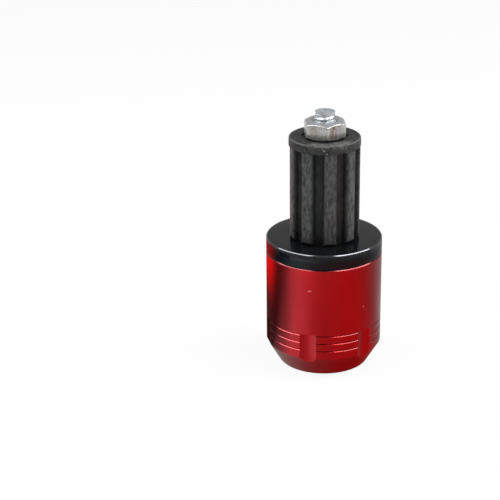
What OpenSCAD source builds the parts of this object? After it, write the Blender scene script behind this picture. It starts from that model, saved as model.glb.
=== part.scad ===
// Bar end weight for a 22 mm handlebar, standing on its outer end.
// Z runs along the screw. The outer end face is at Z = 0 and the nut is uppermost.

/* [End cap] */
// Diameter of the turned end cap
cap_d = 30; // [26:0.5:34]
// Length of the end cap, from the outer face to the collar
cap_h = 30.5; // [26:0.5:40]
// Diameter at the small end of the nose cone, before its edge is rounded
nose_d = 23.1; // [20:0.1:25]
// Length of the nose cone
nose_h = 5.8; // [4:0.1:7]
// Radius of the rounded edge round the outer face
nose_round = 0.8; // [0.4:0.1:1.4]
// Chamfer on the rim that meets the collar
cap_chamfer = 0.25; // [0.1:0.05:0.6]

/* [Grooves round the cap] */
// Number of turned grooves
groove_count = 3; // [1:1:4]
// Spacing of the grooves
groove_pitch = 2.1; // [1.6:0.1:2.6]
// Height of the lowest groove above the nose cone
groove_start = 2.2; // [1:0.1:3]
// Width of a groove at its mouth
groove_w = 0.35; // [0.2:0.05:0.8]
// Depth of a groove
groove_depth = 0.2; // [0.1:0.05:0.5]

/* [Milled flutes] */
// Number of flutes milled into the nose
flute_count = 6; // [3:1:8]
// Diameter of the cutter that mills them
flute_cutter_d = 9; // [6:0.5:10]
// Depth of a flute below the cap's surface
flute_depth = 0.75; // [0.5:0.05:1.2]
// Height of the flutes' square upper ends above the nose cone
flute_rise = 6.7; // [4:0.1:9]
// Direction of the first flute
flute_turn = -105.5; // [-120:0.5:-60]

/* [Collar] */
// Step in from the cap's side to the collar's side
collar_inset = 0; // [0:0.1:1.5]
// Thickness of the collar
collar_h = 4; // [2.5:0.5:6]
// Chamfer on both rims of the collar
collar_chamfer = 0.3; // [0.1:0.05:0.6]

/* [Rubber plug] */
// Diameter over the plug's ribs
plug_d = 18.1; // [16.5:0.1:20]
// Length of the plug, from the collar to its closed end
plug_len = 26.8; // [20:0.2:34]
// Diameter of the disc that closes the flutes off
plug_disc_d = 18.35; // [17:0.05:20.5]
// Thickness of that disc
plug_disc_h = 2.2; // [1.6:0.1:3.5]
// Radius of the disc's upper edge
plug_disc_round = 0.5; // [0.3:0.1:1]
// Number of ribs
rib_count = 9; // [6:1:10]
// Width of a rib
rib_w = 3.5; // [2.6:0.1:4]
// Height of a rib above the floor between two of them
rib_h = 1.5; // [0.8:0.1:2]
// Radius of a rib's long edges
rib_round = 0.9; // [0.3:0.1:1.2]
// Radius where a rib meets the floor
rib_root = 0.4; // [0.1:0.1:0.5]
// Radius of the ribs' open ends, next to the collar
rib_end_round = 1; // [0.4:0.1:1.4]
// Direction of the first rib
rib_turn = -80; // [-120:1:-60]
// Diameter of the shallow recess in the plug's open end
recess_d = 12.6; // [12:0.2:13.4]
// Depth of that recess
recess_depth = 0.8; // [0.4:0.1:1.5]
// Depth to which the tightened nut sits in the rubber
nut_seat = 0.4; // [0.2:0.1:0.8]
// Gap round the nut's corners in that seat
nut_seat_gap = 0.1; // [0.05:0.05:0.4]

/* [Hex nut] */
// Width across the nut's flats
nut_af = 10; // [9:0.5:11]
// Thickness of the nut
nut_h = 4.7; // [4:0.1:6]
// Diameter of the flat on each side of the nut, inside its chamfer
nut_face_d = 8.6; // [8.2:0.1:9.6]
// Slope of the nut's corner chamfers, in degrees
nut_chamfer_slope = 30; // [20:1:35]
// Direction of one of the nut's corners
nut_turn = -83; // [-120:1:-60]
// Room between the thread and the nut, on the diameter
thread_gap = 0.1; // [0.05:0.05:0.2]
// Width of the countersink at each end of the nut's thread
nut_countersink = 0.45; // [0.1:0.05:0.6]

/* [Cap screw] */
// Diameter over the screw's thread
screw_d = 6; // [5:0.1:6.4]
// Length of thread that stands out past the nut
screw_show = 2.1; // [1.5:0.1:8]
// Chamfer at the screw's tip
screw_tip = 0.4; // [0.2:0.1:0.9]
// Diameter of the screw's head
head_d = 10; // [9:0.5:11]
// Height of the screw's head
head_h = 6; // [5:0.5:7]
// Chamfer round the top of the head
head_chamfer = 0.6; // [0.2:0.1:1]
// Depth of the head below the outer face
head_sunk = 1.7; // [0.5:0.1:3]
// Width across the flats of the key socket
socket_af = 5; // [4:0.5:6]
// Depth of the key socket
socket_depth = 3; // [2:0.5:3.5]

/* [Fits] */
// Room round the screw in the cap, the collar and the plug, on the diameter
shank_gap = 0.5; // [0.2:0.1:1]
// Room round the head in its counterbore, on the diameter
head_gap = 1; // [0.4:0.1:1.2]
// Chamfer at the mouth of the counterbore
mouth_chamfer = 0.4; // [0.2:0.1:0.8]

/* [Hidden] */
$fn = 96;
eps = 0.01;

// heights of the joints between the pieces
seat_z = head_sunk + head_h;
collar_z = cap_h;
plug_z = collar_z + collar_h;
plug_top_z = plug_z + plug_len;
nut_z = plug_top_z - nut_seat;
nut_top_z = nut_z + nut_h;
tip_z = nut_top_z + screw_show;

// radii and widths that several pieces share
cap_r = cap_d / 2;
collar_r = cap_r - collar_inset;
hole_d = screw_d + shank_gap;
counterbore_d = head_d + head_gap;
nut_corner_d = nut_af / cos(30);
nut_bore_d = screw_d + thread_gap;

// Points on an arc about a centre, from one direction to another
function arc(centre, r, from, to, steps = 6) =
    [for (i = [0 : steps]) centre + r * [cos(from + (to - from) * i / steps), sin(from + (to - from) * i / steps)]];

// One rib and half of each floor beside it, as points round the plug's axis, with the rib along +X.
// The rib's edges and roots are arcs that touch its flanks, its crest and the floor.
function rib_outline(crest_r, floor_r, half_w, edge, root, half_turn) =
    let (
        edge_y = half_w - edge,
        edge_x = sqrt(pow(crest_r - edge, 2) - pow(edge_y, 2)),
        edge_turn = atan2(edge_y, edge_x),
        root_y = half_w + root,
        root_x = sqrt(pow(floor_r + root, 2) - pow(root_y, 2)),
        root_turn = atan2(root_y, root_x)
    )
    concat(
        arc([0, 0], floor_r, -half_turn, -root_turn, 3),
        arc([root_x, -root_y], root, 180 - root_turn, 90, 4),
        arc([edge_x, -edge_y], edge, -90, -edge_turn, 6),
        arc([0, 0], crest_r, -edge_turn, edge_turn, 4),
        arc([edge_x, edge_y], edge, edge_turn, 90, 6),
        arc([root_x, root_y], root, -90, root_turn - 180, 4),
        [for (p = arc([0, 0], floor_r, root_turn, half_turn, 3)) if (atan2(p[1], p[0]) < half_turn - 0.1) p]
    );

function turned(points, angle) =
    [for (p = points) [p[0] * cos(angle) - p[1] * sin(angle), p[0] * sin(angle) + p[1] * cos(angle)]];

// Straight hole along Z, open at both ends
module through_hole(d, z0, z1) {
    translate([0, 0, z0 - eps])
        cylinder(d = d, h = z1 - z0 + 2 * eps);
}

// Half section of the cap's outside: rounded outer edge, nose cone, barrel and chamfered rim
module cap_section() {
    cone_angle = atan2(cap_r - nose_d / 2, nose_h);
    round_centre = [nose_d / 2 - nose_round * (1 - sin(cone_angle)) / cos(cone_angle), nose_round];
    polygon(concat(
        [[0, 0]],
        arc(round_centre, nose_round, -90, -cone_angle, 8),
        [[cap_r, nose_h],
         [cap_r, cap_h - cap_chamfer],
         [cap_r - cap_chamfer, cap_h],
         [0, cap_h]]
    ));
}

// Turned V groove round the cap
module cap_groove(z) {
    rotate_extrude($fn = 180)
        polygon([
            [cap_r - groove_depth, z],
            [cap_r + groove_depth, z - groove_w],
            [cap_r + groove_depth, z + groove_w]
        ]);
}

// Path of the cutter that mills one flute, parallel to the screw
module flute_cut() {
    translate([cap_r - flute_depth + flute_cutter_d / 2, 0, -1])
        cylinder(d = flute_cutter_d, h = nose_h + flute_rise + 1);
}

module end_cap() {
    color([0.62, 0.07, 0.09])
    difference() {
        rotate_extrude($fn = 180)
            cap_section();
        for (i = [0 : groove_count - 1])
            cap_groove(nose_h + groove_start + i * groove_pitch);
        for (i = [0 : flute_count - 1])
            rotate([0, 0, flute_turn + i * 360 / flute_count])
                flute_cut();
        through_hole(hole_d, 0, cap_h);
        through_hole(counterbore_d, 0, seat_z - eps);
        translate([0, 0, -eps])
            cylinder(
                d1 = counterbore_d + 2 * (mouth_chamfer + eps),
                d2 = counterbore_d,
                h = mouth_chamfer + eps
            );
    }
}

module collar() {
    color([0.09, 0.09, 0.1])
    difference() {
        translate([0, 0, collar_z])
            rotate_extrude($fn = 180)
                polygon([
                    [0, 0],
                    [collar_r - collar_chamfer, 0],
                    [collar_r, collar_chamfer],
                    [collar_r, collar_h - collar_chamfer],
                    [collar_r - collar_chamfer, collar_h],
                    [0, collar_h]
                ]);
        through_hole(hole_d, collar_z, plug_z);
    }
}

// Ribs and floors of the plug, up to the disc that closes them off
module plug_ribs() {
    rib_pitch = 360 / rib_count;
    one_rib = rib_outline(plug_d / 2, plug_d / 2 - rib_h, rib_w / 2, rib_round, rib_root, rib_pitch / 2);
    linear_extrude(plug_len - plug_disc_h / 2)
        polygon([for (i = [0 : rib_count - 1]) each turned(one_rib, rib_turn + i * rib_pitch)]);
}

// Envelope that rounds the open ends of the ribs off
module plug_envelope() {
    reach = plug_d / 2 + 1;
    rotate_extrude($fn = 180)
        polygon(concat(
            [[0, 0]],
            arc([plug_d / 2 - rib_end_round, rib_end_round], rib_end_round, -90, -15, 5),
            [[reach, rib_end_round + 1.5],
             [reach, plug_len],
             [0, plug_len]]
        ));
}

// Disc at the plug's inner end, with a rounded upper edge
module plug_disc() {
    disc_r = plug_disc_d / 2;
    translate([0, 0, plug_len - plug_disc_h])
        rotate_extrude($fn = 180)
            polygon(concat(
                [[0, 0], [disc_r, 0]],
                arc([disc_r - plug_disc_round, plug_disc_h - plug_disc_round], plug_disc_round, 0, 90, 8),
                [[0, plug_disc_h]]
            ));
}

module rubber_plug() {
    color([0.14, 0.14, 0.14])
    difference() {
        translate([0, 0, plug_z])
            union() {
                intersection() {
                    plug_ribs();
                    plug_envelope();
                }
                plug_disc();
            }
        through_hole(hole_d, plug_z, plug_top_z);
        through_hole(recess_d, plug_z, plug_z + recess_depth - eps);
        through_hole(nut_corner_d + 2 * nut_seat_gap, nut_z + eps, plug_top_z);
    }
}

// Half section of the turned form that chamfers a nut's corners on both sides
module nut_chamfers() {
    corner_r = nut_corner_d / 2 + 1;
    drop = (corner_r - nut_face_d / 2) * tan(nut_chamfer_slope);
    polygon([
        [0, 0],
        [nut_face_d / 2, 0],
        [corner_r, drop],
        [corner_r, nut_h - drop],
        [nut_face_d / 2, nut_h],
        [0, nut_h]
    ]);
}

module hex_nut() {
    bore_r = nut_bore_d / 2;
    color([0.74, 0.73, 0.7])
    translate([0, 0, nut_z])
    difference() {
        intersection() {
            rotate([0, 0, nut_turn])
                cylinder(d = nut_corner_d, h = nut_h, $fn = 6);
            rotate_extrude()
                nut_chamfers();
        }
        through_hole(nut_bore_d, 0, nut_h);
        for (z = [0, nut_h])
            translate([0, 0, z])
                rotate_extrude()
                    polygon([
                        [0, -nut_countersink - eps],
                        [bore_r, -nut_countersink - eps],
                        [bore_r + nut_countersink + eps, 0],
                        [bore_r, nut_countersink + eps],
                        [0, nut_countersink + eps]
                    ]);
    }
}

// Half section of the screw: chamfered head, shank and chamfered tip
module screw_section() {
    head_r = head_d / 2;
    screw_r = screw_d / 2;
    polygon([
        [0, head_sunk],
        [head_r - head_chamfer, head_sunk],
        [head_r, head_sunk + head_chamfer],
        [head_r, seat_z],
        [screw_r, seat_z],
        [screw_r, tip_z - screw_tip],
        [screw_r - screw_tip, tip_z],
        [0, tip_z]
    ]);
}

module cap_screw() {
    color([0.78, 0.78, 0.77])
    difference() {
        rotate_extrude()
            screw_section();
        translate([0, 0, head_sunk - eps])
            cylinder(d = socket_af / cos(30), h = socket_depth + eps, $fn = 6);
        translate([0, 0, head_sunk + socket_depth - eps])
            cylinder(d1 = socket_af, d2 = 0.4, h = (socket_af - 0.4) / 2 * tan(30));
    }
}

end_cap();
collar();
rubber_plug();
hex_nut();
cap_screw();
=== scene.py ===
"""Looks, light and camera for the bar end weight that stands on its outer end.

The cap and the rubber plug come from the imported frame. The collar, the nut and the screw are worked out here
again, with rounded edges and a true M6 thread. Lengths in the code are millimetres until Blender gets them.
"""

import math

import bpy
import numpy as np
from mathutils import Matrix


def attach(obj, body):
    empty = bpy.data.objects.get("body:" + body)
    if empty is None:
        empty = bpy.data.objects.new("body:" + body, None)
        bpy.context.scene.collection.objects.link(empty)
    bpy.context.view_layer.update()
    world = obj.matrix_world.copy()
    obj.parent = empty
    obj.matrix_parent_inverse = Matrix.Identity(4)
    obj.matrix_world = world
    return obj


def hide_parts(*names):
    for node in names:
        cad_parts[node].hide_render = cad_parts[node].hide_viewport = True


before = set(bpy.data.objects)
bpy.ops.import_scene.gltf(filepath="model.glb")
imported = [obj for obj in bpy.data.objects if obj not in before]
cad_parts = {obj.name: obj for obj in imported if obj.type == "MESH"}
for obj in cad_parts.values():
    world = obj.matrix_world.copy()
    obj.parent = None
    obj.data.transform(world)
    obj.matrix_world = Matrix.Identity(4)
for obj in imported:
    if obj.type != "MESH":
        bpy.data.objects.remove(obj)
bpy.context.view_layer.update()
scene = bpy.context.scene
MM = 0.001


# Sizes in millimetres and angles in degrees, as the solids have them. A height is above the outer end face.

CAP_R = 15.0
COLLAR_Z = 30.5
COLLAR_BORE_R = 3.25
COLLAR_CHAMFER = 0.3
PLUG_Z = 34.5
PLUG_R = 9.05
DISC_Z = 59.1
DISC_TOP_Z = 61.3
DISC_R = 9.175

NUT_Z = 60.9
NUT_TOP_Z = 65.6
NUT_AF = 10.0
NUT_FACE_R = 4.3
NUT_BORE_R = 3.05
NUT_COUNTERSINK = 0.45
NUT_CHAMFER_ANGLE = 30
NUT_TURN = -83.0

HEAD_Z = 1.7
HEAD_R = 5.0
HEAD_CHAMFER = 0.6
SEAT_Z = 7.7
SOCKET_AF = 5.0
SOCKET_DEPTH = 3.0
SCREW_R = 3.0
TIP_Z = 67.7

# The thread's sizes in millimetres, which the solids leave out.

THREAD_LENGTH = 24.0
THREAD_PITCH = 1.0
ROOT_R = 2.35
CREST_R = 2.95
FIRST_ROOT_R = 2.15
FIRST_CREST_R = 2.45
LIP_R = 2.6
LIP_HEIGHT = 0.35


# Surfaces as arrays.

def rounded(points, reach, steps=4):
    """Profile with its inner corners rounded.

    points is (..., corners, 2). Each inner corner gives way to a parabola that starts and ends `reach` away
    from it on its two edges, or under half of the shorter edge:
    (1-t)^2 * start + 2t(1-t) * corner + t^2 * end.
    """
    before = points[..., 1:-1, :] - points[..., :-2, :]
    after = points[..., 2:, :] - points[..., 1:-1, :]
    length_before = np.linalg.norm(before, axis=-1, keepdims=True)
    length_after = np.linalg.norm(after, axis=-1, keepdims=True)
    reach = np.asarray(reach, float)[1:-1, None]
    near = np.minimum(reach, 0.45 * np.minimum(length_before, length_after))
    corner = points[..., 1:-1, :]
    start = corner - before / length_before * near
    end = corner + after / length_after * near
    t = np.linspace(0, 1, steps)[:, None]
    arcs = (
        (1 - t) ** 2 * start[..., None, :]
        + 2 * t * (1 - t) * corner[..., None, :]
        + t**2 * end[..., None, :]
    )
    arcs = arcs.reshape(*points.shape[:-2], -1, 2)
    return np.concatenate([points[..., :1, :], arcs, points[..., -1:, :]], axis=-2)


def section(corners, angle):
    """Rounded profile for each direction, from corners that give radius, height and the reach of the round.

    A radius or a height is one number, or an array with a value for each direction.
    """
    points = [
        np.stack([np.broadcast_to(r, angle.shape), np.broadcast_to(z, angle.shape)], axis=-1)
        for r, z, _ in corners
    ]
    return rounded(np.stack(points, axis=1), [reach for _, _, reach in corners])


def hexagon(angle, across_flats, turn, sharpness=70):
    """Radius of a hexagon in each direction: its half width over the p-norm of the cosines to its six flats.

    The p-norm leaves the flats straight and rounds the corners a little; a corner lies at `turn` degrees.
    """
    flats = np.radians(turn + 30 + 60 * np.arange(6))
    towards = np.clip(np.cos(angle[:, None] - flats), 0, None)
    return across_flats / 2 / (towards**sharpness).sum(1) ** (1 / sharpness)


def swept_round(profile, angle):
    """Grid of points with one profile for each direction a: (r cos a, r sin a, z). Its rows go round."""
    r, z = profile[..., 0], profile[..., 1]
    grid = np.stack([r * np.cos(angle)[:, None], r * np.sin(angle)[:, None], z], axis=-1)
    return grid.transpose(1, 0, 2)


def thread_radius(along, root_r, crest_r):
    """Rolled and plated thread, rounded at crest and root: a cosine wave with one crest for each pitch."""
    return (crest_r + root_r) / 2 + (crest_r - root_r) / 2 * np.cos(2 * math.pi * along)


def make_piece(name, grid, replaces, smooth_below=40, weld=1e-4):
    """One welded mesh from a grid of points whose second direction closes on itself.

    Points that fall on the same step of `weld` millimetres, as at a pole or a clamped row, become one
    vertex, and faces that lose a corner there become triangles. The mesh is in metres at the origin, with
    its faces pointing outwards.
    """
    rows, columns = grid.shape[:2]
    index = np.arange(rows * columns).reshape(rows, columns)
    places, merged = np.unique(
        np.round(grid.reshape(-1, 3) / weld).astype(np.int64), axis=0, return_inverse=True
    )
    merged = merged.ravel()
    here, above = index[:-1, :], index[1:, :]
    quads = np.stack([here, np.roll(here, -1, 1), np.roll(above, -1, 1), above], axis=-1)
    quads = merged[quads.reshape(-1, 4)]
    same = quads == np.roll(quads, -1, axis=1)
    whole = quads[~same.any(1)]
    pinched = same.sum(1) == 1
    triangles = quads[pinched][~same[pinched]].reshape(-1, 3)
    mesh = bpy.data.meshes.new(name)
    mesh.from_pydata((places * weld * MM).tolist(), [], whole.tolist() + triangles.tolist())
    mesh.validate()
    mesh.shade_smooth()
    mesh.set_sharp_from_angle(angle=math.radians(smooth_below))
    mesh.update()
    piece = bpy.data.objects.new(name, mesh)
    scene.collection.objects.link(piece)
    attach(piece, "root")
    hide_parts(replaces)
    return piece


def nut_grid():
    """Hexagon nut, its section turned about the axis with a radius of its own in each direction.

    The section runs from the bore over the lower face, the lower corner chamfer, the flat, the upper chamfer
    and the upper face back to the bore. The chamfers are 30 degree cones, so they bite deepest at the
    corners and leave an arc over each flat: their height is (flat radius - face radius) * tan 30.
    """
    angle = np.radians(np.arange(0, 360, 1.25))
    flat_r = hexagon(angle, NUT_AF, NUT_TURN)
    drop = (flat_r - NUT_FACE_R) * math.tan(math.radians(NUT_CHAMFER_ANGLE))
    mouth_r = NUT_BORE_R + NUT_COUNTERSINK
    start_z = NUT_Z + 2.4
    corners = [
        (NUT_BORE_R, start_z, 0.0),
        (NUT_BORE_R, NUT_Z + NUT_COUNTERSINK, 0.05),
        (mouth_r, NUT_Z, 0.05),
        (NUT_FACE_R, NUT_Z, 0.1),
        (flat_r, NUT_Z + drop, 0.25),
        (flat_r, NUT_TOP_Z - drop, 0.25),
        (NUT_FACE_R, NUT_TOP_Z, 0.1),
        (mouth_r, NUT_TOP_Z, 0.05),
        (NUT_BORE_R, NUT_TOP_Z - NUT_COUNTERSINK, 0.05),
        (NUT_BORE_R, start_z, 0.0),
    ]
    return swept_round(section(corners, angle), angle)


def screw_body(angle):
    """Section of the screw from the bottom of its key socket, out over the head and down the plain shank.

    The socket ends in a drill point 1.3 mm deep, its mouth is broken by 0.15 mm, and the shank meets the
    head in a 0.3 mm fillet.
    """
    socket_r = hexagon(angle, SOCKET_AF, 0)
    socket_floor = HEAD_Z + SOCKET_DEPTH
    corners = [
        (0.0, socket_floor + 1.3, 0.0),
        (socket_r - 0.1, socket_floor, 0.05),
        (socket_r, socket_floor - 0.1, 0.05),
        (socket_r, HEAD_Z + 0.15, 0.05),
        (socket_r + 0.15, HEAD_Z, 0.05),
        (HEAD_R - HEAD_CHAMFER, HEAD_Z, 0.15),
        (HEAD_R, HEAD_Z + HEAD_CHAMFER, 0.15),
        (HEAD_R, SEAT_Z, 0.08),
        (SCREW_R + 0.25, SEAT_Z, 0.2),
        (SCREW_R, SEAT_Z + 0.3, 0.2),
        (SCREW_R, TIP_Z - THREAD_LENGTH, 0.0),
    ]
    return section(corners, angle)


def screw_thread(turn, per_pitch=10):
    """Section of the screw's thread in each direction, up to the rim of its tip.

    The rows follow the helix: with n rows for each pitch, row k lies at pitch * (k / n + turn) above the
    thread's start, so that crests and roots stay sharp. Rows that would pass either end are clamped to it,
    and the groove fades out into the shank over a pitch and a half, by d * d * (3 - 2d). Rolling leaves a
    lip at the tip and the next two crests low, and the thread is full 2.3 mm below the tip.
    """
    start_z = TIP_Z - THREAD_LENGTH
    rows = np.arange(-per_pitch, int((THREAD_LENGTH / THREAD_PITCH + 1) * per_pitch) + 1)
    z = start_z + THREAD_PITCH * (rows / per_pitch + turn[:, None])
    z = np.clip(z, start_z, TIP_Z)
    along = (z - TIP_Z) / THREAD_PITCH - turn[:, None] + 0.25
    full = np.clip((TIP_Z - z - 0.3) / 2.0, 0, 1)
    root_r = FIRST_ROOT_R + (ROOT_R - FIRST_ROOT_R) * full
    crest_r = FIRST_CREST_R + (CREST_R - FIRST_CREST_R) * full * full
    depth = np.clip((z - start_z) / (1.5 * THREAD_PITCH), 0, 1)
    groove = thread_radius(along, root_r, crest_r) - SCREW_R
    r = SCREW_R + groove * depth * depth * (3 - 2 * depth)
    below_lip = np.clip((TIP_Z - z) / LIP_HEIGHT, 0, 1)
    return np.stack([r * below_lip + LIP_R * (1 - below_lip), z], -1)


def screw_grid(columns=96):
    """Socket cap screw: its body, its thread and a tip that is hollow by 0.05 mm at its middle."""
    turn = np.arange(columns) / columns
    angle = 2 * math.pi * turn
    thread = screw_thread(turn)
    rim_r = thread[:, -1:, 0]
    end_r = np.concatenate([rim_r * 0.96, rim_r * 0.5, rim_r * 0], axis=1)
    end_z = np.broadcast_to([TIP_Z, TIP_Z - 0.03, TIP_Z - 0.05], end_r.shape)
    end = np.stack([end_r, end_z], -1)
    return swept_round(np.concatenate([screw_body(angle), thread, end], axis=1), angle)


def collar_grid():
    """Collar: its section turned about the axis, with a chamfer and fine rounds on each outer rim."""
    angle = np.radians(np.arange(0, 360, 1.5))
    start_z = COLLAR_Z + 2
    corners = [
        (COLLAR_BORE_R, start_z, 0.0),
        (COLLAR_BORE_R, COLLAR_Z, 0.1),
        (CAP_R - COLLAR_CHAMFER, COLLAR_Z, 0.06),
        (CAP_R, COLLAR_Z + COLLAR_CHAMFER, 0.1),
        (CAP_R, PLUG_Z - COLLAR_CHAMFER, 0.1),
        (CAP_R - COLLAR_CHAMFER, PLUG_Z, 0.06),
        (COLLAR_BORE_R, PLUG_Z, 0.1),
        (COLLAR_BORE_R, start_z, 0.0),
    ]
    return swept_round(section(corners, angle), angle)


# Materials. A Mix node of colours has its first colour in socket 6, its second in socket 7, and its result
# in output 2.

def linear(code):
    """Linear RGBA of an sRGB hex colour: c / 12.92 up to 0.04045, else ((c + 0.055) / 1.055) ^ 2.4."""
    values = [int(code[i : i + 2], 16) / 255 for i in (0, 2, 4)]
    return (*[c / 12.92 if c <= 0.04045 else ((c + 0.055) / 1.055) ** 2.4 for c in values], 1.0)


def add(tree, kind, settings=None, links=None):
    """Adds a node, with values for its sockets or properties, and links from (node, output) to its sockets.

    A key is the name or the number of a socket, or else the name of a property.
    """
    node = tree.nodes.new("ShaderNode" + kind)
    for key, value in (settings or {}).items():
        if isinstance(key, int) or key in node.inputs:
            node.inputs[key].default_value = value
        else:
            setattr(node, key, value)
    for key, (source, output) in (links or {}).items():
        tree.links.new(source.outputs[output], node.inputs[key])
    return node


def new_material(name):
    """Empty node material, with its tree, its output node and its object coordinates."""
    material = bpy.data.materials.new(name)
    material.use_nodes = True
    tree = material.node_tree
    tree.nodes.clear()
    return material, tree, add(tree, "OutputMaterial"), add(tree, "TexCoord")


def spots(tree, coords, places, radius, softness):
    """Mask that is 1 inside small round spots at the given points, in millimetres, and 0 away from them."""
    nearest = None
    for place in places:
        point = [v * MM for v in place]
        away = add(tree, "VectorMath", {"operation": "DISTANCE", 1: point}, {0: (coords, "Object")})
        if nearest is not None:
            away = add(tree, "Math", {"operation": "MINIMUM"}, {0: (nearest, "Value"), 1: (away, "Value")})
        nearest = away
    limits = {"From Min": radius * MM, "From Max": (radius + softness) * MM, "To Min": 1.0, "To Max": 0.0}
    return add(tree, "MapRange", limits, {"Value": (nearest, "Value")})


def radius_and_height(tree, coords):
    """Nodes for the distance from the screw's axis, sqrt(x^2 + y^2), and for the coordinates one by one."""
    level = add(tree, "VectorMath", {"operation": "MULTIPLY", 1: (1.0, 1.0, 0.0)}, {0: (coords, "Object")})
    radius = add(tree, "VectorMath", {"operation": "LENGTH"}, {0: (level, "Vector")})
    return radius, add(tree, "SeparateXYZ", {}, {"Vector": (coords, "Object")})


def turning_marks(tree, coords):
    """Noise drawn out round the part, for the marks that the lathe's tool leaves.

    The real ones are 0.1 mm apart and too fine to show, so they are drawn 0.4 mm apart and very faint.
    """
    lathe = add(tree, "Mapping", {"Scale": (0.04, 0.04, 1.0)}, {"Vector": (coords, "Object")})
    return add(tree, "TexNoise", {"Scale": 1 / (0.4 * MM), "Detail": 2.0}, {"Vector": (lathe, "Vector")})


def anodised_red():
    """Turned aluminium, chemically brightened, dyed red in its oxide and sealed.

    To the eye it is a deep red metal under a thin clear skin: reflections keep the red, and towards the
    edges the skin turns them grey. Dust grains and tiny nicks of 0.3 mm show as pale specks. The facets
    that lie at about 45 degrees, the grooves' walls and the chamfer under the collar, take a paler colour,
    a painted highlight that makes them glint pale pink, the grooves most at the left. At two places on the
    grooves the painted glint is dimmed: one at the far left stays dark, and one in front glints red.
    """
    material, tree, output, coords = new_material("red_anodised_turned_aluminium")
    cloud = add(tree, "TexNoise", {"Scale": 1 / (7 * MM), "Detail": 3.0}, {"Vector": (coords, "Object")})
    dye = {"data_type": "RGBA", 6: linear("a00d14"), 7: linear("ab1018")}
    colour = add(tree, "Mix", dye, {"Factor": (cloud, "Fac")})

    # Painted highlight: facets at about 45 degrees take a paler colour, which brightens their reflections into
    # pale pink glints. It is painted weaker on the chamfer under the collar, on the grooves from x -7 mm to
    # the right, and at two places on the grooves.
    facing = add(tree, "SeparateXYZ", {}, {"Vector": (coords, "Normal")})
    tilt = add(tree, "Math", {"operation": "ABSOLUTE"}, {0: (facing, "Z")})
    facet = add(tree, "Math", {"operation": "COMPARE", 1: 0.73, 2: 0.08}, {0: (tilt, "Value")})
    place = add(tree, "SeparateXYZ", {}, {"Vector": (coords, "Object")})
    limits = {"From Min": (COLLAR_Z - 1.0) * MM, "From Max": (COLLAR_Z - 0.5) * MM}
    seam = add(tree, "MapRange", limits, {"Value": (place, "Z")})
    limits = {"From Min": -7 * MM, "From Max": -2 * MM, "To Max": 0.9}
    right = add(tree, "MapRange", limits, {"Value": (place, "X")})
    glints = {"data_type": "RGBA", 6: linear("b4464a"), 7: linear("68282b")}
    thin = add(tree, "Mix", glints, {"Factor": (seam, "Result")})
    duller = {"data_type": "RGBA", 7: linear("68282b")}
    thin = add(tree, "Mix", duller, {"Factor": (right, "Result"), 6: (thin, 2)})
    # Painted: two places where the glint is dimmed, one at the far left to dark red and one in front to red.
    glint_dimming_places = [((-13.7, -6.1, 10.3), 5.0, "5a0c10"), ((0.0, -15.0, 10.3), 4.0, "a8161c")]
    for middle, softness, shade in glint_dimming_places:
        deep = spots(tree, coords, [middle], radius=3.0, softness=softness)
        dimmed_glint = {"data_type": "RGBA", 7: linear(shade)}
        thin = add(tree, "Mix", dimmed_glint, {"Factor": (deep, "Result"), 6: (thin, 2)})
    edged = {"Factor": (facet, "Value"), 6: (colour, 2), 7: (thin, 2)}
    colour = add(tree, "Mix", {"data_type": "RGBA"}, edged)

    nicks = [
        (-3.85, -14.5, 24.68), (-3.55, -14.57, 24.73), (-3.25, -14.65, 24.8),
        (10.19, -11.01, 19.14), (12.91, -7.63, 7.38),
    ]
    specks = spots(tree, coords, nicks, radius=0.09, softness=0.16)
    speckled = {"data_type": "RGBA", 7: linear("e87074")}
    colour = add(tree, "Mix", speckled, {"Factor": (specks, "Result"), 6: (colour, 2)})
    metal = add(tree, "MapRange", {"To Min": 1.0, "To Max": 0.0}, {"Value": (specks, "Result")})

    marks = turning_marks(tree, coords)
    rough = add(tree, "MapRange", {"To Min": 0.23, "To Max": 0.27}, {"Value": (marks, "Fac")})
    bump = add(tree, "Bump", {"Strength": 0.02, "Distance": 0.02 * MM}, {"Height": (marks, "Fac")})
    skin = {"Coat Weight": 0.3, "Coat Roughness": 0.12, "Coat IOR": 1.5}
    joined = {
        "Base Color": (colour, 2),
        "Metallic": (metal, "Result"),
        "Roughness": (rough, "Result"),
        "Normal": (bump, "Normal"),
    }
    shader = add(tree, "BsdfPrincipled", skin, joined)
    tree.links.new(shader.outputs["BSDF"], output.inputs["Surface"])
    return material


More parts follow.
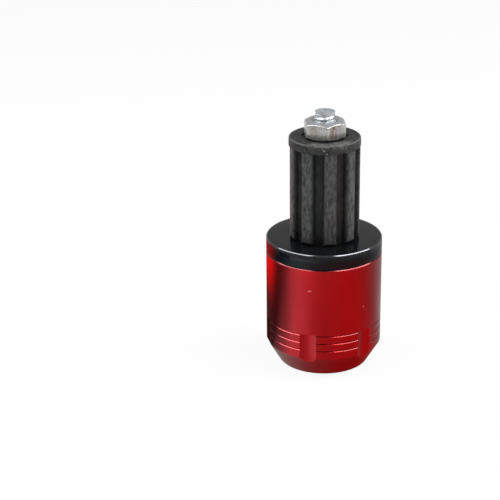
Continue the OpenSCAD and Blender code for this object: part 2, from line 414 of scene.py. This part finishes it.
def anodised_black():
    """Turned aluminium, dyed black in its oxide and sealed.

    It reads as a near-black with a soft sheen. On the chamfer the dye is thin, so the rim flashes like bare
    metal: r + z is greatest there, which gives the mask.
    """
    material, tree, output, coords = new_material("black_anodised_turned_aluminium")
    cloud = add(tree, "TexNoise", {"Scale": 1 / (2.5 * MM), "Detail": 4.0}, {"Vector": (coords, "Object")})
    dye = {"data_type": "RGBA", 6: linear("0d0e10"), 7: linear("131417")}
    colour = add(tree, "Mix", dye, {"Factor": (cloud, "Fac")})

    radius, place = radius_and_height(tree, coords)
    rim = add(tree, "Math", {"operation": "ADD"}, {0: (radius, "Value"), 1: (place, "Z")})
    chamfer = CAP_R + PLUG_Z - COLLAR_CHAMFER
    limits = {"From Min": (chamfer - 0.11) * MM, "From Max": (chamfer - 0.04) * MM}
    thin = add(tree, "MapRange", limits, {"Value": (rim, "Value")})
    bare = {"data_type": "RGBA", 7: linear("5c5d61")}
    colour = add(tree, "Mix", bare, {"Factor": (thin, "Result"), 6: (colour, 2)})
    metal = add(tree, "Math", {"operation": "MULTIPLY", 1: 0.9}, {0: (thin, "Result")})

    marks = turning_marks(tree, coords)
    rough = add(tree, "MapRange", {"To Min": 0.1, "To Max": 0.14}, {"Value": (marks, "Fac")})
    bump = add(tree, "Bump", {"Strength": 0.04, "Distance": 0.02 * MM}, {"Height": (marks, "Fac")})
    joined = {
        "Base Color": (colour, 2),
        "Metallic": (metal, "Value"),
        "Roughness": (rough, "Result"),
        "Normal": (bump, "Normal"),
    }
    shader = add(tree, "BsdfPrincipled", {"Specular IOR Level": 0.17}, joined)
    tree.links.new(shader.outputs["BSDF"], output.inputs["Surface"])
    return material


def moulded_rubber():
    """Black rubber, moulded hot in a steel tool and left as it came out.

    A matt charcoal with a broad dull sheen. The ribs' crests, from 8.7 mm out, are paler, a painted light
    that leaves the floors between the ribs dark as painted shade. The mottle is 0.5 to 1 mm across and drawn
    out along the ribs. Grains of release powder of 0.1 mm are drawn 0.3 mm across so that they show. The disc
    is palest on its rim, where r + z is greatest, and in a patch before the nut, a painted highlight and
    sheen, and two chips on it are paler still.
    """
    material, tree, output, coords = new_material("moulded_black_rubber")
    drawn = add(tree, "Mapping", {"Scale": (1.0, 1.0, 0.4)}, {"Vector": (coords, "Object")})
    flecks = {"Scale": 1 / (0.65 * MM), "Detail": 5.0, "Roughness": 0.65}
    mottle = add(tree, "TexNoise", flecks, {"Vector": (drawn, "Vector")})
    grain = add(tree, "TexNoise", {"Scale": 1 / (0.3 * MM), "Detail": 2.0}, {"Vector": (coords, "Object")})
    broad = add(tree, "TexNoise", {"Scale": 1 / (2.5 * MM), "Detail": 2.0}, {"Vector": (coords, "Object")})
    both = add(tree, "Math", {"operation": "ADD"}, {0: (mottle, "Fac"), 1: (broad, "Fac")})
    patches = add(tree, "MapRange", {"From Min": 0.8, "From Max": 1.25}, {"Value": (both, "Value")})
    charcoal = {"data_type": "RGBA", 6: linear("1b1c1c"), 7: linear("2f3030")}
    colour = add(tree, "Mix", charcoal, {"Factor": (patches, "Result")})

    # Painted light: the crests from 8.7 mm out are paler, which leaves the floors between the ribs dark as
    # painted shade; the disc's wall gets 0.15 of it.
    radius, place = radius_and_height(tree, coords)
    limits = {"From Min": (PLUG_R - 0.35) * MM, "From Max": (PLUG_R + 0.01) * MM}
    crest = add(tree, "MapRange", limits, {"Value": (radius, "Value")})
    limits = {"From Min": (DISC_Z - 0.4) * MM, "From Max": DISC_Z * MM, "To Min": 1.0, "To Max": 0.15}
    below = add(tree, "MapRange", limits, {"Value": (place, "Z")})
    rubbed = add(tree, "Math", {"operation": "MULTIPLY"}, {0: (crest, "Result"), 1: (below, "Result")})
    limits = {"From Min": 0.36, "From Max": 0.6, "To Min": 0.12}
    uneven = add(tree, "MapRange", limits, {"Value": (mottle, "Fac")})
    rubbed = add(tree, "Math", {"operation": "MULTIPLY"}, {0: (rubbed, "Value"), 1: (uneven, "Result")})
    paler = {"data_type": "RGBA", 7: linear("5a5b5b")}
    colour = add(tree, "Mix", paler, {"Factor": (rubbed, "Value"), 6: (colour, 2)})

    # Painted highlight on the disc's rim, and painted sheen in a patch before the nut.
    corner = add(tree, "Math", {"operation": "ADD"}, {0: (radius, "Value"), 1: (place, "Z")})
    edge = DISC_R + DISC_TOP_Z
    limits = {"From Min": (edge - 0.415) * MM, "From Max": (edge - 0.265) * MM, "To Max": 0.75}
    rim = add(tree, "MapRange", limits, {"Value": (corner, "Value")})
    before_nut = [(-2.6, -7.6), (-0.4, -8.1), (2.0, -8.0), (4.2, -7.3), (3.4, -6.6), (5.2, -5.9)]
    patch = spots(tree, coords, [(x, y, DISC_TOP_Z) for x, y in before_nut], radius=0.4, softness=1.6)
    patch = add(tree, "Math", {"operation": "MULTIPLY", 1: 0.62}, {0: (patch, "Result")})
    painted_rim_and_sheen = add(tree, "Math", {"operation": "MAXIMUM"}, {0: (rim, "Result"), 1: (patch, "Value")})
    painted_rim_and_sheen = add(tree, "Math", {"operation": "MULTIPLY"}, {0: (painted_rim_and_sheen, "Value"), 1: (uneven, "Result")})
    palest = {"data_type": "RGBA", 7: linear("8a8a86")}
    colour = add(tree, "Mix", palest, {"Factor": (painted_rim_and_sheen, "Value"), 6: (colour, 2)})

    powder = add(tree, "MapRange", {"From Min": 0.66, "From Max": 0.76}, {"Value": (grain, "Fac")})
    powder = add(tree, "Math", {"operation": "MULTIPLY"}, {0: (powder, "Result"), 1: (crest, "Result")})
    dusty = {"data_type": "RGBA", 7: linear("7e7e7b")}
    colour = add(tree, "Mix", dusty, {"Factor": (powder, "Value"), 6: (colour, 2)})
    chips = spots(tree, coords, [(-0.15, -9.1, 60.1), (0.55, -9.1, 59.35)], radius=0.1, softness=0.15)
    chipped = {"data_type": "RGBA", 7: linear("a0a09c")}
    colour = add(tree, "Mix", chipped, {"Factor": (chips, "Result"), 6: (colour, 2)})

    relief = add(tree, "Math", {"operation": "ADD"}, {0: (mottle, "Fac"), 1: (grain, "Fac")})
    bump = add(tree, "Bump", {"Strength": 0.5, "Distance": 0.06 * MM}, {"Height": (relief, "Value")})
    rough = add(tree, "MapRange", {"To Min": 0.62, "To Max": 0.48}, {"Value": (mottle, "Fac")})
    joined = {"Base Color": (colour, 2), "Roughness": (rough, "Result"), "Normal": (bump, "Normal")}
    shader = add(tree, "BsdfPrincipled", {"Specular IOR Level": 0.3}, joined)
    tree.links.new(shader.outputs["BSDF"], output.inputs["Surface"])
    return material


def zinc_plated(name, pale, dull, ends, metallic, roughness, dents, marks):
    """Steel, forged or rolled, then plated with zinc and given a clear passivation.

    A light grey metal, part mirror and part frosted. The bath clouds it at 1 to 2 mm, the tools leave
    streaks along Z that are 0.5 mm apart, handling scratches it at 0.2 mm, drawn at 0.3 mm so that it shows,
    and faces that face up are greyer, as painted shade. `dents`, from 0 to 1, is how strongly the clouds also
    dent the surface.
    `marks` are places in millimetres, with a radius, a soft edge and a colour, that take another colour, in
    streaks: brown stains from damp, and painted shade where a flat is darker.
    """
    material, tree, output, coords = new_material(name)
    drawn = add(tree, "Mapping", {"Scale": (1.0, 1.0, 0.12)}, {"Vector": (coords, "Object")})
    cloud = add(tree, "TexNoise", {"Scale": 1 / (1.6 * MM), "Detail": 4.0}, {"Vector": (coords, "Object")})
    streak = add(tree, "TexNoise", {"Scale": 1 / (0.5 * MM), "Detail": 3.0}, {"Vector": (drawn, "Vector")})
    scuff = add(tree, "TexNoise", {"Scale": 1 / (0.3 * MM), "Detail": 2.0}, {"Vector": (coords, "Object")})
    faint = add(tree, "Math", {"operation": "MULTIPLY", 1: 0.5}, {0: (streak, "Fac")})
    tone = add(tree, "Math", {"operation": "ADD"}, {0: (cloud, "Fac"), 1: (faint, "Value")})
    tone = add(tree, "MapRange", {"From Min": 0.55, "From Max": 0.95}, {"Value": (tone, "Value")})
    clouded = {"data_type": "RGBA", 6: linear(pale), 7: linear(dull)}
    colour = add(tree, "Mix", clouded, {"Factor": (tone, "Result")})

    # Painted shade: faces that face up, the chamfers and the upper end faces, take the `ends` colour.
    facing = add(tree, "SeparateXYZ", {}, {"Vector": (coords, "Normal")})
    limits = {"From Min": 0.72, "From Max": 0.86, "To Max": 0.85}
    level = add(tree, "MapRange", limits, {"Value": (facing, "Z")})
    greyer = {"data_type": "RGBA", 7: linear(ends)}
    colour = add(tree, "Mix", greyer, {"Factor": (level, "Result"), 6: (colour, 2)})
    # Marks: real stains, and on the nut's right-hand flat a painted shade.
    patchy = add(tree, "MapRange", {"From Min": 0.3, "From Max": 0.55}, {"Value": (streak, "Fac")})
    for places, radius, softness, shade in marks:
        mark = spots(tree, coords, places, radius, softness)
        mark = add(tree, "Math", {"operation": "MULTIPLY"}, {0: (mark, "Result"), 1: (patchy, "Result")})
        marked = {"data_type": "RGBA", 7: linear(shade)}
        colour = add(tree, "Mix", marked, {"Factor": (mark, "Value"), 6: (colour, 2)})

    limits = {"To Min": roughness - 0.06, "To Max": roughness + 0.08}
    rough = add(tree, "MapRange", limits, {"Value": (scuff, "Fac")})
    dented = add(tree, "Bump", {"Strength": dents, "Distance": 0.4 * MM}, {"Height": (cloud, "Fac")})
    fine = {"Strength": 0.02, "Distance": 0.01 * MM}
    bump = add(tree, "Bump", fine, {"Height": (scuff, "Fac"), "Normal": (dented, "Normal")})
    joined = {"Base Color": (colour, 2), "Roughness": (rough, "Result"), "Normal": (bump, "Normal")}
    shader = add(tree, "BsdfPrincipled", {"Metallic": metallic}, joined)
    tree.links.new(shader.outputs["BSDF"], output.inputs["Surface"])
    return material


def dress(piece, material):
    """Gives a piece one material in place of those it had."""
    piece.data.materials.clear()
    piece.data.materials.append(material)


# The pieces.

collar = make_piece("collar_turned", collar_grid(), "collar")
nut = make_piece("nut_rounded", nut_grid(), "hex_nut")
screw = make_piece("screw_threaded", screw_grid(), "cap_screw")

# The nut's right-hand flat is painted darker as shade, with a brown stain in its middle, and the left-hand
# one has a faint stain. The screw's tip has blue-grey patches.
nut_marks = [
    ([(3.3, -3.8, 63.0)], 2.0, 0.8, "9c9b96"),
    ([(2.3, -4.6, 64.0), (2.2, -4.7, 62.9)], 0.7, 0.9, "806b62"),
    ([(-2.8, -4.3, 63.6)], 0.6, 1.0, "ada69a"),
]
tip_marks = [([(0.3, 1.3, TIP_Z), (1.7, 0.4, TIP_Z), (-0.7, -1.2, TIP_Z)], 0.2, 0.7, "8b9196")]
nut_finish = zinc_plated(
    "zinc_plated_steel_nut",
    pale="d2d2cf", dull="b2b1ac", ends="9da0a5", metallic=0.5, roughness=0.27, dents=0.0, marks=nut_marks,
)
screw_finish = zinc_plated(
    "zinc_plated_steel_screw",
    pale="eff2f4", dull="c4c9cd", ends="c6cbcf", metallic=0.8, roughness=0.32, dents=0.9, marks=tip_marks,
)

dress(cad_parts["end_cap"], anodised_red())
dress(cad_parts["rubber_plug"], moulded_rubber())
dress(collar, anodised_black())
dress(nut, nut_finish)
dress(screw, screw_finish)


# The studio.

def floor_material():
    """White paper, which keeps the object's shadow.

    Camera rays see it near white, with 8 hundredths of its true shade. Mirror rays see 95 hundredths of that
    shade, so that the metal shows the object's own shadow and its red glow.
    """
    material, tree, output, _ = new_material("white_paper_floor")
    paper = add(tree, "BsdfDiffuse", {"Color": (0.9, 0.9, 0.9, 1.0)})
    glow = add(tree, "Emission", {"Color": (1.0, 1.0, 1.0, 1.0), "Strength": 1.0})
    rays = add(tree, "LightPath")
    straight = {0: (rays, "Is Camera Ray"), 1: (rays, "Is Transmission Ray")}
    seen = add(tree, "Math", {"operation": "MAXIMUM"}, straight)
    seen = add(tree, "Math", {"operation": "MULTIPLY", 1: 0.92}, {0: (seen, "Value")})
    mirrored = add(tree, "Math", {"operation": "MULTIPLY", 1: 0.05}, {0: (rays, "Is Glossy Ray")})
    share = add(tree, "Math", {"operation": "MAXIMUM"}, {0: (seen, "Value"), 1: (mirrored, "Value")})
    mixed = add(tree, "MixShader", {}, {0: (share, "Value"), 1: (paper, "BSDF"), 2: (glow, "Emission")})
    tree.links.new(mixed.outputs["Shader"], output.inputs["Surface"])
    return material


def flat_piece(name, points, faces, material):
    """Flat sheet for the studio, with its points in millimetres, marked as stage."""
    mesh = bpy.data.meshes.new(name)
    mesh.from_pydata((np.asarray(points, float) * MM).tolist(), [], faces)
    mesh.materials.append(material)
    piece = bpy.data.objects.new(name, mesh)
    scene.collection.objects.link(piece)
    return piece


def paper_floor(half=4000, height=-0.02):
    """Square sheet of white paper, 8 m wide, a hair under the weight so that the two don't share a plane."""
    corners = [(-half, -half, height), (half, -half, height), (half, half, height), (-half, half, height)]
    flat_piece("floor", corners, [[0, 1, 2, 3]], floor_material())


def painted_reflection_material(brightest=2.6):
    """Glowing sheet, no lamp, whose tone follows the direction about Z: a painted reflection for the weight's
    metal to mirror, with painted shadow and red glow at its foot and painted dark and red bands further out.

    The direction is 0 on the camera's side and positive to its right. atan2(x, -y) picks the tone from four
    colour ramps that run straight between their stops. A stop is a direction in degrees, a strength of red,
    and one of green and blue. The ramp at the foot gives way to the middle one between 14 and 22 mm from the
    screw's axis, that to the outer one between 50 and 73 mm, and that to the rim's, which the collar mirrors,
    between 91 and 96 mm.
    """
    # Painted reflection: the foot paints the object's shadow and red glow, the middle and outer ramps paint
    # dark and red bands, and the rim's ramp paints the collar's highlights.
    foot = [
        (-180, 0.3, 0.2), (-100, 0.3, 0.3), (-36, 0.4, 0.43), (0, 0.44, 0.18), (20, 0.46, 0.05),
        (50, 0.45, 0.02), (90, 0.4, 0.08), (180, 0.3, 0.2),
    ]
    middle = [
        (-180, 0.3, 0.3), (-165, 0.12, 0.02), (-92, 0.06, 0.06), (-74, 0.4, 0.6), (-66, 0.52, 0.9),
        (-52, 1.12, 1.65), (-34, 1.14, 1.45), (-19, 0.84, 0.65), (0, 0.72, 0.36), (50, 0.86, 0.2),
        (84, 0.67, 0.26), (104, 0.45, 0.35), (125, 0.52, 0.5), (180, 0.3, 0.3),
    ]
    outer = [
        (-180, 0.42, 0.42), (-166, 0.36, 0.03), (-130, 1.4, 0.018), (-119, 1.6, 0.018), (-100, 0.12, 0.06),
        (-84, 0.1, 0.14), (-72, 0.36, 0.6), (-62, 0.84, 1.2), (-44, 1.06, 1.42), (-24, 0.96, 0.75),
        (-5, 0.87, 0.45), (44, 0.94, 0.2), (80, 0.68, 0.25), (100, 0.42, 0.42), (180, 0.42, 0.42),
    ]
    rim = [
        (-180, 0.42, 0.42), (-165, 0.5, 0.1), (-110, 1.7, 0.07), (-99, 0.7, 0.2), (-89, 0.04, 0.04),
        (-69, 0.04, 0.04), (-62, 1.8, 1.9), (-43, 2.5, 2.6), (-19, 1.7, 1.75), (-4, 0.7, 0.7),
        (15, 0.56, 0.56), (92, 0.5, 0.5), (110, 0.8, 0.8), (180, 0.42, 0.42),
    ]
    material, tree, output, coords = new_material("painted_reflection_ring")
    parts = add(tree, "SeparateXYZ", {}, {"Vector": (coords, "Object")})
    ahead = add(tree, "Math", {"operation": "MULTIPLY", 1: -1.0}, {0: (parts, "Y")})
    way = add(tree, "Math", {"operation": "ARCTAN2"}, {0: (parts, "X"), 1: (ahead, "Value")})
    place = add(tree, "MapRange", {"From Min": -math.pi, "From Max": math.pi}, {"Value": (way, "Value")})
    reach = add(tree, "VectorMath", {"operation": "LENGTH"}, {0: (coords, "Object")})
    tone = None
    for stops, near, far in ((foot, 0, 0), (middle, 14, 22), (outer, 50, 73), (rim, 91, 96)):
        ramp = add(tree, "ValToRGB", {}, {"Fac": (place, "Result")})
        steps = ramp.color_ramp.elements
        while len(steps) < len(stops):
            steps.new(0.5)
        for step, (angle, red, rest) in zip(steps, stops):
            step.position = (angle + 180) / 360
            step.color = (red / brightest, rest / brightest, rest / brightest, 1.0)
        if tone is None:
            tone = (ramp, "Color")
            continue
        limits = {"From Min": near * MM, "From Max": far * MM}
        share = add(tree, "MapRange", limits, {"Value": (reach, "Value")})
        joined = {"Factor": (share, "Result"), 6: tone, 7: (ramp, "Color")}
        tone = (add(tree, "Mix", {"data_type": "RGBA"}, joined), 2)
    glow = add(tree, "Emission", {"Strength": brightest}, {"Color": tone})
    tree.links.new(glow.outputs["Emission"], output.inputs["Surface"])
    return material


def painted_reflection_ring(inner_r=11.8, outer_r=112.0, height=0.25, count=96):
    """Glowing ring on the floor round the weight, seen only in its reflections, which it paints."""
    a = 2 * math.pi * np.arange(count) / count
    rings = [np.stack([r * np.sin(a), -r * np.cos(a), 0 * a + height], 1) for r in (inner_r, outer_r)]
    here = np.arange(count)
    beside = np.roll(here, -1)
    faces = np.stack([here, here + count, beside + count, beside], 1).tolist()
    glowing_ring = flat_piece("painted_reflection_ring", np.concatenate(rings), faces, painted_reflection_material())
    glowing_ring.visible_camera = False
    glowing_ring.visible_diffuse = False
    glowing_ring.visible_shadow = False
    glowing_ring.visible_transmission = False


def studio_world():
    """World that is white to camera rays and a plain grey to the object.

    The grey is darker on the camera's side than behind the object: 0.18 where the direction's y is under
    -0.8, rising evenly to 0.46 where it is over 0.35.
    """
    world = bpy.data.worlds.new("studio")
    scene.world = world
    world.use_nodes = True
    air = world.node_tree
    air.nodes.clear()
    rays = add(air, "LightPath")
    parts = add(air, "SeparateXYZ", {}, {"Vector": (add(air, "TexCoord"), "Generated")})
    limits = {"From Min": -0.8, "From Max": 0.35, "To Min": 0.18, "To Max": 0.46}
    shade = add(air, "MapRange", limits, {"Value": (parts, "Y")})
    level = add(air, "Math", {"operation": "MAXIMUM"}, {0: (rays, "Is Camera Ray"), 1: (shade, "Result")})
    sky = add(air, "Background", {"Color": (1.0, 1.0, 1.0, 1.0)}, {"Strength": (level, "Value")})
    add(air, "OutputWorld", {}, {"Surface": (sky, "Background")})


def softbox(name, near_end, far_end, aim, width, watts):
    """Strip softbox from one end point to the other, turned to face a point, all in millimetres.

    Its side lies along the strip, its back points away from the aim at right angles to the side, and its
    third direction is their cross product.
    """
    near_end, far_end = np.asarray(near_end, float), np.asarray(far_end, float)
    place = (near_end + far_end) / 2
    along = far_end - near_end
    lamp = bpy.data.lights.new(name, "AREA")
    lamp.shape = "RECTANGLE"
    lamp.size = np.linalg.norm(along) * MM
    lamp.size_y = width * MM
    lamp.energy = watts
    holder = bpy.data.objects.new(name, lamp)
    scene.collection.objects.link(holder)
    side = along / np.linalg.norm(along)
    away = place - np.asarray(aim, float)
    away -= side * (away @ side)
    away /= np.linalg.norm(away)
    turned = np.eye(4)
    turned[:3, :3] = np.stack([side, np.cross(away, side), away], axis=1)
    turned[:3, 3] = place * MM
    holder.matrix_world = turned.T.tolist()


paper_floor()
painted_reflection_ring()
studio_world()
softbox("softbox_left", (-94, -127, 334), (-405, 163, 334), aim=(0, 0, 30), width=90, watts=0.85)
softbox("softbox_right", (94, -127, 334), (405, 163, 334), aim=(0, 0, 30), width=90, watts=1.35)


# The camera.

def place_camera(target, distance, elevation, pan, tilt, roll, lens):
    """Camera `distance` from the target and `elevation` above it on the -Y side, then turned.

    It is panned, tilted and rolled. Its axes are the view direction, a level right-hand direction and their
    cross product, turned by the roll.
    """
    e, h, p, r = (math.radians(v) for v in (elevation, pan, tilt - elevation, roll))
    place = np.array(target) + distance * np.array([0, -math.cos(e), math.sin(e)])
    look = np.array([math.sin(h) * math.cos(p), math.cos(h) * math.cos(p), math.sin(p)])
    right = np.array([math.cos(h), -math.sin(h), 0])
    up = np.cross(right, look)
    turned = np.eye(4)
    turned[:3, 0] = right * math.cos(r) + up * math.sin(r)
    turned[:3, 1] = up * math.cos(r) - right * math.sin(r)
    turned[:3, 2] = -look
    turned[:3, 3] = place * MM
    data = bpy.data.cameras.new("camera")
    data.sensor_width = 36.0
    data.lens = lens
    data.clip_start = 0.01
    holder = bpy.data.objects.new("camera", data)
    scene.collection.objects.link(holder)
    holder.matrix_world = turned.T.tolist()
    scene.camera = holder


place_camera(
    target=(0, 0, 34.5), distance=400, elevation=21.46, pan=-2.957, tilt=-0.574, roll=-0.68, lens=111.19
)

scene.view_settings.view_transform = "Standard"

bpy.context.view_layer.update()
